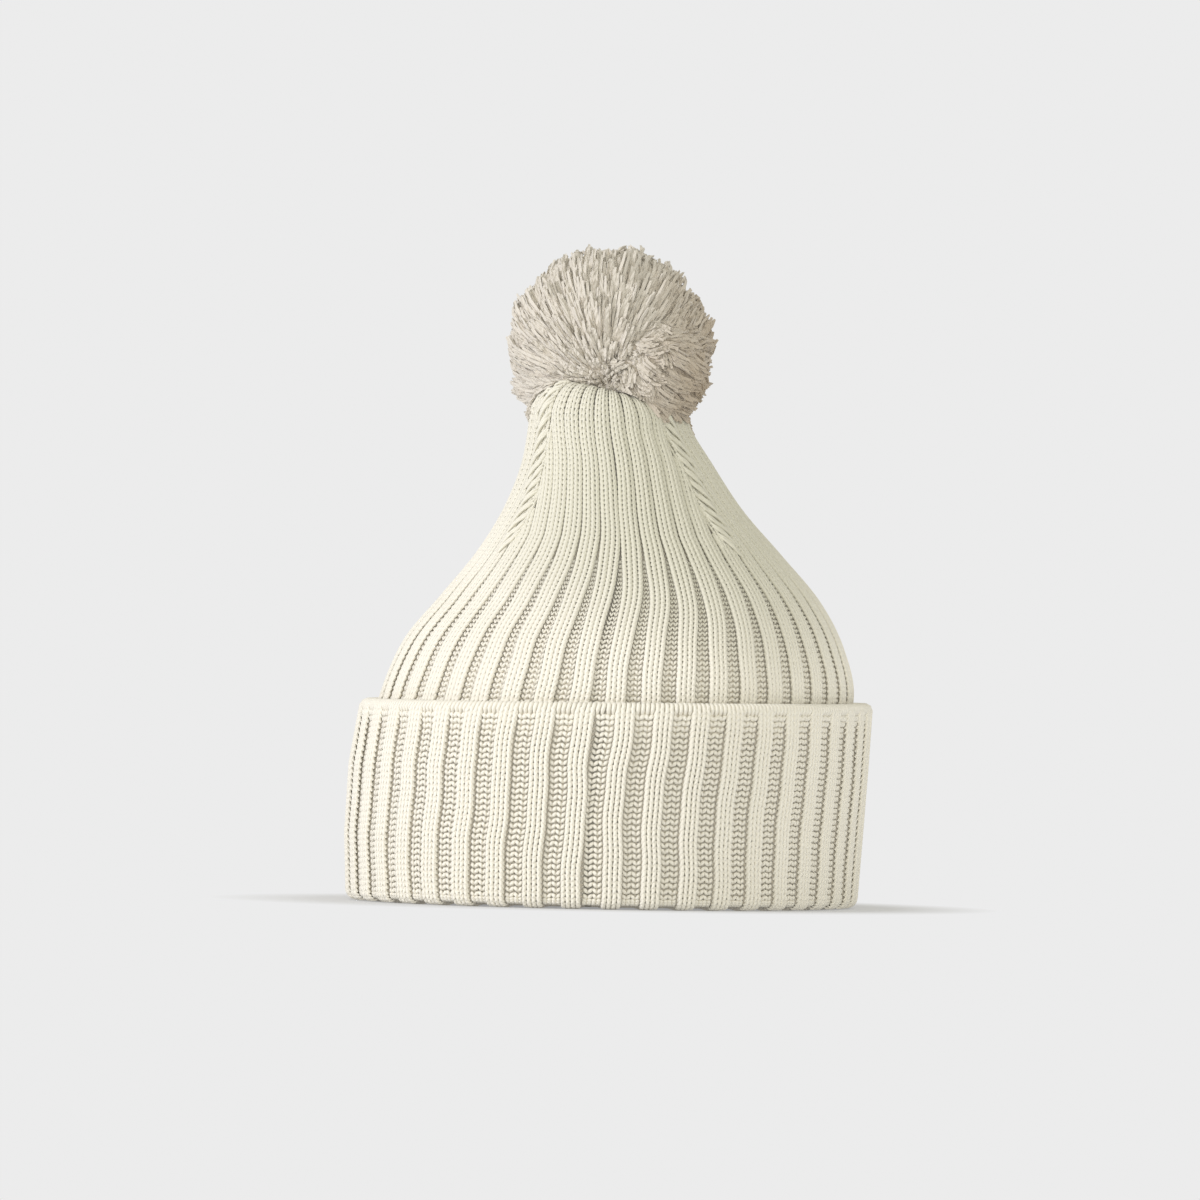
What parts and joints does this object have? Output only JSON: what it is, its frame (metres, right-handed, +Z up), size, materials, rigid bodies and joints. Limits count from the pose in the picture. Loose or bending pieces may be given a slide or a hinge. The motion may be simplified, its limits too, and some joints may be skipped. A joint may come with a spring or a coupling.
{
  "type": "bobble hat",
  "caption": "Ribbed knitted bobble hat: turned-up band, crown with decrease lines gathered to a dimple, and a yarn pompom on top; it stands on its brim",
  "frame": {"origin": "on the floor under the middle of the turned-up band", "axes": "+Z up through the crown to the pompom, -Y the front, +X to the right of someone who faces the front"},
  "size_m": [0.1724, 0.1928, 0.2154],
  "materials": {
    "knit": "matte cream two-by-two rib knit",
    "pompom_yarn": "matte cream cut yarn"
  },
  "bodies": {
    "root": {"crown": "knit", "cuff": "knit", "pompom": "pompom_yarn"}
  },
  "joints": []
}
